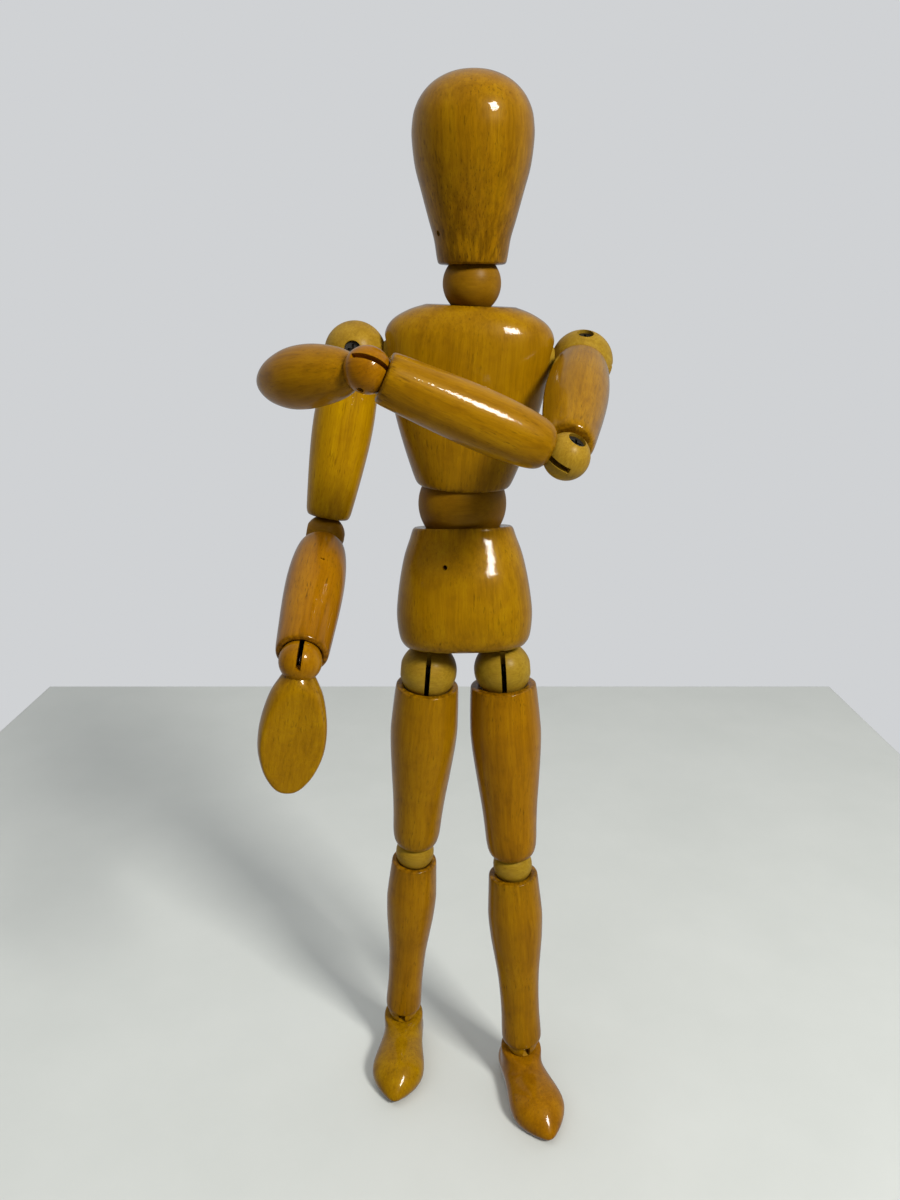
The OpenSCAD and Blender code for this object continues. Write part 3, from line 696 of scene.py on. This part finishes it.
def cross_hole(r, s):
    x = R("Y", 90)
    return [rod(0.85, -r - 1, r + 1, x, 24),
            rod(2.2, r - 2.65 if s > 0 else -r - 1, r + 1 if s > 0 else -r + 2.65, x, 48)]


def ball_rows(r, n=64):
    rows = [(r * math.sin(t), r * math.cos(t)) for t in np.linspace(0, math.pi, n)]
    rows[0], rows[-1] = (0, r), (0, -r)
    return rows


def slotted_ball(name, r, a0, a1, s, screw, wire=True, w=KERF):
    me = lathe(name, ball_rows(r), 112)
    cuts = slot_cuts(r, a0, a1, w)
    if wire:
        cuts.append(rod(0.95, 0, r + 1, None, 24))
    cuts += cross_hole(r, s) if screw else [rod(0.75, -r - 1, r + 1, R("Y", 90), 24)]
    return carve(me, cuts, name)


def shoulder_mesh(name, s):
    r = R_SHOULDER
    t1 = math.acos((r - 0.7) / r)
    prof = [(0, 9.7), (4.3, 9.7), (4.6, 9.55), (3.12, 7.6)]
    prof += [(r * math.sin(t), r * math.cos(t)) for t in np.linspace(t1, math.pi, 60)]
    prof[-1] = (0, -r)
    me = lathe(name, prof, 112)
    return carve(me, slot_cuts(r, -15, 116) + [rod(0.95, 0, 12, None, 24)] + cross_hole(r, s), name)


def hand_mesh(name, width, length, roll):
    """Turned mitten with a flat palm; the palm's edge is eased."""
    curve = soft(sized(HAND, width / 17.7, length / 34.2), 8)
    r = R_WRIST
    keep, rim, nxt = cut_by_ball(curve, r + 0.02, 0.0, True)
    n = 168
    rings = []
    seat = [(r * math.sin(t), r * math.cos(t)) for t in np.linspace(0.0, math.atan2(rim[0], rim[1]), 8)]
    seat[0] = (0, r + 0.02)
    for rr, d in seat + [tuple(k) for k in keep]:
        rings.append(circle(rr, -d, n))
    rings[-1] = [(0.0, 0.0, -length)]
    lean, k = math.radians(7), 0.5
    cr, sr = math.cos(math.radians(roll)), math.sin(math.radians(roll))
    out, flat = [], []
    for ring in rings:
        new = []
        for x, y, z in ring:
            across, deep = cr * x + sr * y, cr * y - sr * x
            u = ((deep + 5.4) * math.cos(lean) + (z + 4) * math.sin(lean)) / k
            push = k * (math.log1p(math.exp(-abs(u))) + max(u, 0.0) - u)
            deep += push * math.cos(lean)
            new.append((cr * across - sr * deep, sr * across + cr * deep, z + push * math.sin(lean)))
            flat.append(1.0 if u < -1.2 else 0.0)
        out.append(new)
    me = rings_mesh(name, out)
    if len(me.vertices) == len(flat):
        a = me.attributes.new("flat", "FLOAT", "POINT")
        a.data.foreach_set("value", np.array(flat, np.float32))
    rim_stain_and_shade(me, [(-rim[1], 0.9, 1), (-rim[1], 5, 0.45)])
    return me


def foot_mesh(name):
    """Shoe-shaped foot: turned body on a flat sole, blended into the ankle post."""
    rows = soft(FOOT, 6)
    tilt = R("X", 95.5) @ R("X", 180)
    lift = T(0, 0, 4.6 - 15) @ Matrix.Diagonal((1, 1, 0.79, 1)) @ tilt
    n = 120
    rings = []
    for rr, d in rows:
        ring = circle(max(rr, 0.0), -d, n)
        rings.append([tuple(lift @ Vector(p)) for p in ring])
    ob = object_of(rings_mesh(name + "_body", rings), name + "_raw")
    post = lathe(name + "_post", [(0, -14), (6.4, -14), (6.6, -7), (6.8, 0), (0, 0)], 96)
    post.transform(Matrix.Translation((0, 0.4 * MM, 0)))
    slope = lathe(name + "_slope", [(0, 0), (6.5, 0), (5.0, 16), (0, 16)], 96)
    k = T(0, 1, 8 - 15) @ R("X", 112)
    k.translation = k.translation * MM
    slope.transform(k)
    extra = [object_of(post, name + "_a"), object_of(slope, name + "_b")]
    for po in extra:
        md = ob.modifiers.new("join", "BOOLEAN")
        md.object, md.operation, md.solver = po, "UNION", "EXACT"
    # the rim round the ankle ball slants: low in front, high at the heel
    slant = object_of(rod(9.2, 0, 12, T(0, 0, -2.4) @ R("X", 14), 96), name + "_c")
    md = ob.modifiers.new("slant", "BOOLEAN")
    md.object, md.operation, md.solver = slant, "DIFFERENCE", "EXACT"
    extra.append(slant)
    rm = ob.modifiers.new("even", "REMESH")
    rm.mode, rm.voxel_size = "VOXEL", 0.00032
    sm = ob.modifiers.new("ease", "CORRECTIVE_SMOOTH")
    sm.factor, sm.iterations, sm.smooth_type, sm.use_only_smooth = 0.5, 34, "SIMPLE", True
    dg = bpy.context.evaluated_depsgraph_get()
    dg.update()
    me = bpy.data.meshes.new_from_object(ob.evaluated_get(dg))
    bpy.data.objects.remove(ob)
    for po in extra:
        bpy.data.objects.remove(po)
    # flat sole with an eased edge
    z0, k = -15.0, 0.28
    for v in me.vertices:
        z = v.co.z / MM
        u = (z - z0) / k
        v.co.z = (z0 + k * (math.log1p(math.exp(-abs(u))) + max(u, 0.0))) * MM if z < -12 else v.co.z
    me.update()
    me = carve(me, [ball_cut(R_ANKLE + 0.05, (0, 0, 0), 72)], name)
    rim_stain_and_shade(me, [(-1.9, 0.8, 1), (-1.9, 3.5, 0.5), (-15, 0.5, 0.6)])
    return me


# ----------------------------------------------------------------------- pieces
WOOD = [LACQUER, SOCKET]
count = 0


def put(me, name, key, body, node, mats, crease=34):
    global count
    count += 1
    return finish_piece(me, name, key, body, node, mats, tint_of(count, name), crease)


put(head_mesh(), "look_head", "head", "head", "head", WOOD)
put(chest_mesh(), "look_chest", "chest", "chest", "chest", WOOD)
put(pelvis_mesh(), "look_pelvis", "pelvis", "pelvis", "pelvis", WOOD)
put(bored_ball("neck_ball", R_NECK, 1.4, 4.6), "look_neck_ball", "neck", "neck_ball", "neck_ball",
    [SATIN, KERF_PAINTED_SHADE])
put(bored_ball("waist_ball", R_WAIST, 1.6, 6.8), "look_waist_ball", "waist", "waist_ball",
    "waist_ball", [SATIN, KERF_PAINTED_SHADE])
for s, side in ((-1, "right"), (1, "left")):
    o = "_" + side
    pale = [PALE, KERF_PAINTED_SHADE]
    put(shoulder_mesh("shoulder_ball" + o, s), "look_shoulder_ball" + o, "shoulder" + o,
        "shoulder_ball" + o, "shoulder_ball" + o, pale)
    # the right upper arm takes the brighter lacquer copy, which is painted light
    put(limb("upper_arm" + o, UPPER_ARM, 50, R_SHOULDER, R_ELBOW), "look_upper_arm" + o,
        "upper_arm" + o, "upper_arm" + o, "upper_arm" + o, [LACQUER_PAINTED_LIT, SOCKET] if s < 0 else WOOD)
    put(slotted_ball("elbow_ball" + o, R_ELBOW, -14, 100, s, True), "look_elbow_ball" + o,
        "elbow" + o, "elbow_ball" + o, "elbow_ball" + o, [SATIN if s < 0 else PALE, KERF_PAINTED_SHADE])
    # two small chips in the right forearm
    chips = [rod(c, 6.8, 9.0, T(0, 0, z) @ R("Z", a) @ R("Y", 90), 16)
             for c, z, a in ((0.34, -19.45, -82), (0.26, -19.3, -86.5))] if s < 0 else ()
    put(limb("forearm" + o, sized(FOREARM, (15.2 if s < 0 else 13.9) / 14.5, 1.04 if s < 0 else 1), 49, R_ELBOW, R_WRIST,
             cuts=chips if s < 0 else ()), "look_forearm" + o, "forearm" + o,
        "forearm" + o, "forearm" + o, WOOD)
    put(slotted_ball("wrist_ball" + o, R_WRIST, 80, 280, s, False, False, 1.2), "look_wrist_ball" + o,
        "hand" + o, "hand" + o, "wrist_ball" + o, [LACQUER, KERF_PAINTED_SHADE])
    put(hand_mesh("hand" + o, *((17.7, 34.2, 10) if s < 0 else (15.6, 32.0, 0))), "look_hand" + o, "hand" + o, "hand" + o, "hand" + o, WOOD)
    put(slotted_ball("hip_ball" + o, R_HIP, -50, 137, s, True), "look_hip_ball" + o, "hip" + o,
        "hip_ball" + o, "hip_ball" + o, pale)
    put(limb("thigh" + o, sized(THIGH, 1 if s < 0 else 1.05), 64, R_HIP, R_KNEE), "look_thigh" + o, "thigh" + o, "thigh" + o,
        "thigh" + o, WOOD)
    put(slotted_ball("knee_ball" + o, R_KNEE, -95, 14, s, False), "look_knee_ball" + o, "knee" + o,
        "knee_ball" + o, "knee_ball" + o, pale)
    put(limb("shin" + o, sized(SHIN, 1 if s < 0 else 17 / 15.9), 65, R_KNEE, R_ANKLE), "look_shin" + o, "knee" + o, "shin" + o,
        "shin" + o, WOOD)
    put(slotted_ball("ankle_ball" + o, R_ANKLE, 55, 265, s, False, False, 2.2),
        "look_ankle_ball" + o, "foot" + o, "foot" + o, "ankle_ball" + o, [LACQUER, KERF_PAINTED_SHADE])
    put(foot_mesh("foot" + o), "look_foot" + o, "foot" + o, "foot" + o, "foot" + o, WOOD,
        60)

# ---------------------------------------------------------------------- springs
WIRE_R, EYE_R, EYE_X, COIL_R, PITCH = 0.3, 1.4, 0.36, 1.5, 0.63


def wire(name, pts, n=8):
    """Round wire along a path in mm."""
    p = [Vector(q) for q in pts]
    side = Vector((1, 0, 0))
    rings = []
    for k, c in enumerate(p):
        t = (p[min(k + 1, len(p) - 1)] - p[max(k - 1, 0)]).normalized()
        side = (side - t * side.dot(t))
        if side.length < 1e-4:
            side = t.orthogonal()
        side.normalize()
        up = t.cross(side)
        rings.append([tuple(c + WIRE_R * (math.cos(2 * math.pi * j / n) * side
                                          + math.sin(2 * math.pi * j / n) * up)) for j in range(n)])
    rings = [[tuple(p[0])]] + rings + [[tuple(p[-1])]]
    return rings_mesh(name, rings)


def eye(x, a, d, up):
    """Wire eye round a cross pin at distance d; up is -1 when its wire leaves along -Z."""
    out = [(x, EYE_R * math.sin(u), up * EYE_R * math.cos(u)) for u in np.linspace(0.6, 5.95, 22)]
    out += [(x, -0.12, up * (EYE_R + 0.3)), (x, 0.0, up * (EYE_R + 0.8))]
    k = T(0, 0, -d) @ R("Z", a)
    return [tuple(k @ Vector(q)) for q in out]


def straight(x, a, d0, d1):
    q = R("Z", a) @ Vector((x, 0, 0))
    return [(q.x, q.y, -d) for d in np.linspace(d0, d1, max(6, int(d1 - d0)))]


def helix(x0, a0, d0, x1, a1, d1):
    """Close coil from an offset wire at d0 to an offset wire at d1."""
    turns = round((d1 - d0) / PITCH) + (a1 - a0) / 360 + (0.5 if x0 * x1 < 0 else 0)
    b0 = math.radians(a0) + (math.pi if x0 < 0 else 0)
    steps = int(abs(turns) * 20)
    out = []
    for k in range(steps + 1):
        f = k / steps
        ends = min(f, 1 - f) * turns
        rad = COIL_R
        if ends < 0.5:
            w = ends / 0.5
            rad = (abs(x0) if f < 0.5 else abs(x1)) * (1 - w) + COIL_R * w
        ang = b0 + 2 * math.pi * turns * f
        out.append((rad * math.cos(ang), rad * math.sin(ang), -(d0 + (d1 - d0) * f)))
    return out


def spring_path(length, c0, c1, x0, a0, x1, a1):
    """Eye, wire, coil, wire and eye, running along -Z."""
    return (eye(x0, a0, 0, -1) + straight(x0, a0, 2.6, c0 - 0.3) + helix(x0, a0, c0, x1, a1, c1)
            + straight(x1, a1, c1 + 0.3, length - 2.6) + eye(x1, a1, length, 1)[::-1])


def put_wire(me, name, k, body, node=None, other=None):
    """Places a wire; with another body given it is baked into world space instead of being attached."""
    global count
    count += 1
    for p in me.polygons:
        p.use_smooth = True
    me.materials.clear()
    me.materials.append(WIRE)
    ob = object_of(me, name)
    m = k.copy()
    m.translation = m.translation * MM
    ob.matrix_world = m
    ob.color = tint_of(count, name)
    if other is None:
        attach(ob, body)
    else:
        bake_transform(ob)
    if node:
        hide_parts(node)


for s, side in ((-1, "right"), (1, "left")):
    o, q = "_" + side, POSE[s]
    for name, key, length, x0, a0, x1, a1, body, other in (
            ("upper_arm_spring", "upper_arm", 50, -EYE_X, 90, EYE_X, q["eturn"], "upper_arm", "elbow_ball"),
            ("forearm_spring", "forearm", 49, -EYE_X, 0, 0, q["wturn"], "forearm", "forearm_spring"),
            ("thigh_spring", "thigh", 64, -EYE_X, 0, EYE_X, 0, "thigh", "knee_ball"),
            ("shin_spring", "knee", 65, -EYE_X, 0, 0, s * q["toe"], "shin", "shin_spring")):
        c0 = 0.3 * length
        me = wire(name + o, spring_path(length, c0, c0 + 12, x0, a0, x1, a1))
        put_wire(me, "look_" + name + o, M[key + o], body + o, name + o, other + o)
    length = 18 / math.cos(math.radians(q["spread"]))
    path = (eye(EYE_X, 0, 0, -1) + straight(EYE_X, 0, 2.6, 8.8) + helix(EYE_X, 0, 9.1, 0, 0, 14.1)
            + straight(0, 0, 14.3, length - 2.3) + eye(0, 0, length, 1)[::-1])
    put_wire(wire("hip_spring" + o, path), "look_hip_spring" + o, M["hip" + o] @ R("X", 180),
             "hip_ball" + o, "hip_spring" + o, "pelvis")
    put_wire(wire("shoulder_hook" + o, eye(-s * EYE_X, 0, 0, -1) + straight(-s * EYE_X, 0, 2.6, 24.2)),
             "look_shoulder_hook" + o, M["shoulder" + o] @ R("X", 180), "shoulder_ball" + o)
put_wire(wire("shoulder_coil", helix(0.36, 0, -6, 0.36, 0, 6)), "look_shoulder_coil",
         M["chest"] @ T(0, 0, 40.3) @ R("Y", 90), "chest", "shoulder_spring")
put_wire(wire("waist_hook", eye(0, 0, 0, -1) + straight(0, 0, 2.6, 16.9)), "look_waist_hook",
         M["pelvis"] @ T(0, 0, 31.4) @ R("Z", 70) @ R("X", 180), "pelvis", "waist_spring")
put_wire(wire("waist_coil", eye(0, 0, 0, -1) + straight(0, 0, 2.6, 7.2) + helix(0, 0, 7.4, 0, 0, 16)
              + straight(0, 0, 16.2, 31)), "look_waist_coil", M["chest"] @ T(0, 0, 31) @ R("Z", 90), "chest",
         None, "waist_ball")
put_wire(wire("neck_hook", eye(0, 0, 0, -1) + straight(0, 0, 2.6, 11)), "look_neck_hook",
         M["chest"] @ T(0, 0, 48) @ R("Z", 90) @ R("X", 180), "chest", "neck_spring")
put_wire(wire("neck_coil", eye(0, 0, 0, -1) + helix(0, 0, 2.3, 0, 0, 3.8) + straight(0, 0, 4.0, 12)),
         "look_neck_coil", M["head"] @ T(0, 0, 12) @ R("Z", 31), "head", None, "neck_ball")

for name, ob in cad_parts.items():
    if any(k in name for k in ("screw", "pin", "nail")):
        mat = STEEL
    else:
        continue
    ob.data.materials.clear()
    ob.data.materials.append(mat)
    for p in ob.data.polygons:
        p.use_smooth = True
    ob.data.set_sharp_from_angle(angle=math.radians(35))

# ------------------------------------------------------------------------ stage
top = bpy.data.meshes.new("floor")
bm = bmesh.new()
x0, x1, y0, y1 = -0.277, 0.266, -0.60, 0.351
vs = [bm.verts.new(c) for c in ((x0, y0, 0), (x1, y0, 0), (x1, y1, 0), (x0, y1, 0))]
f = bm.faces.new(vs)
ext = bmesh.ops.extrude_face_region(bm, geom=[f])
for v in ext["geom"]:
    if isinstance(v, bmesh.types.BMVert):
        v.co.z -= 0.03
bmesh.ops.recalc_face_normals(bm, faces=bm.faces)
bmesh.ops.bevel(bm, geom=[e for e in bm.edges if all(v.co.z > -0.001 for v in e.verts)],
                offset=0.003, segments=4, profile=0.5, affect="EDGES")
bm.to_mesh(top)
bm.free()
floor = object_of(top, "floor")
gf = Graph("floor_white")
tc = gf.nt.nodes.new("ShaderNodeTexCoord")
mmf = gf.vec("SCALE", tc.outputs["Object"], (0, 0, 0))
mmf.node.inputs["Scale"].default_value = 1000.0
gf.link(gf.ramp(gf.noise(mmf, 0.02, 5.0, 0.6), [(0.3, (0.555, 0.575, 0.547)), (0.7, (0.585, 0.603, 0.575))]),
        gf.bsdf.inputs["Base Color"])
gf.link(gf.bump(gf.noise(mmf, 0.6, 4.0, 0.6), 0.15, 0.0001), gf.bsdf.inputs["Normal"])
gf.set(Roughness=0.5, Specular_IOR_Level=0.35)
top.materials.append(gf.mat)

# soft studio surround: bright wall side, dimmer room in front
world = bpy.data.worlds.new("studio")
scene.world = world
world.use_nodes = True
wt = world.node_tree
bg = wt.nodes["Background"]
wc = wt.nodes.new("ShaderNodeTexCoord")
ws = wt.nodes.new("ShaderNodeSeparateXYZ")
wm = wt.nodes.new("ShaderNodeMapRange")
wm.interpolation_type = "SMOOTHSTEP"
wt.links.new(wc.outputs["Generated"], ws.inputs[0])
wt.links.new(ws.outputs["Y"], wm.inputs["Value"])
wm.inputs["From Min"].default_value = -0.35
wm.inputs["From Max"].default_value = 0.55
wm.inputs["To Min"].default_value = 0.12
wm.inputs["To Max"].default_value = 0.66
bg.inputs["Color"].default_value = (0.955, 0.975, 1.0, 1.0)
# the backdrop itself is evenly pale from every side
wl = wt.nodes.new("ShaderNodeLightPath")
wp = wt.nodes.new("ShaderNodeMath")
wp.operation = "MULTIPLY"
wp.inputs[1].default_value = 0.66
wt.links.new(wl.outputs["Is Camera Ray"], wp.inputs[0])
wx = wt.nodes.new("ShaderNodeMath")
wx.operation = "MAXIMUM"
wt.links.new(wm.outputs["Result"], wx.inputs[0])
wt.links.new(wp.outputs[0], wx.inputs[1])
# and shows only weakly in the lacquer
wg = wt.nodes.new("ShaderNodeMath")
wg.operation = "MULTIPLY_ADD"
wg.inputs[1].default_value, wg.inputs[2].default_value = -0.5, 1.0
wt.links.new(wl.outputs["Is Glossy Ray"], wg.inputs[0])
wv = wt.nodes.new("ShaderNodeMath")
wv.operation = "MULTIPLY"
wt.links.new(wx.outputs[0], wv.inputs[0])
wt.links.new(wg.outputs[0], wv.inputs[1])
wt.links.new(wv.outputs[0], bg.inputs["Strength"])


def area(name, at, target, size, power, color=(1, 1, 1)):
    li = bpy.data.lights.new(name, "AREA")
    li.shape = "RECTANGLE"
    li.size, li.size_y = size
    li.energy = power
    li.color = color
    ob = bpy.data.objects.new(name, li)
    scene.collection.objects.link(ob)
    ob.location = at
    ob.rotation_mode = "QUATERNION"
    ob.rotation_quaternion = (Vector(target) - Vector(at)).to_track_quat("-Z", "Y")
    return ob


area("key", (0.443, -0.509, 0.69), (0.0, 0.0, 0.16), (0.19, 0.19), 8.3, (1.0, 0.985, 0.95))
sky = area("sky", (-0.42, -0.2, 1.25), (0.0, 0.0, 0.12), (1.4, 1.4), 7.0, (0.98, 0.99, 1.0))
sky.visible_glossy = False
floor.visible_glossy = False

cam_data = bpy.data.cameras.new("camera")
cam_data.sensor_width = 36.0
cam_data.lens = 27.06
cam_data.clip_start, cam_data.clip_end = 0.01, 20.0
cam = bpy.data.objects.new("camera", cam_data)
scene.collection.objects.link(cam)
cam.location = ((BASE[0] - 4.5) * MM, (BASE[1] - 246.0) * MM, 0.23983)
cam.rotation_euler = (math.radians(90 - 17), 0, 0)
scene.camera = cam
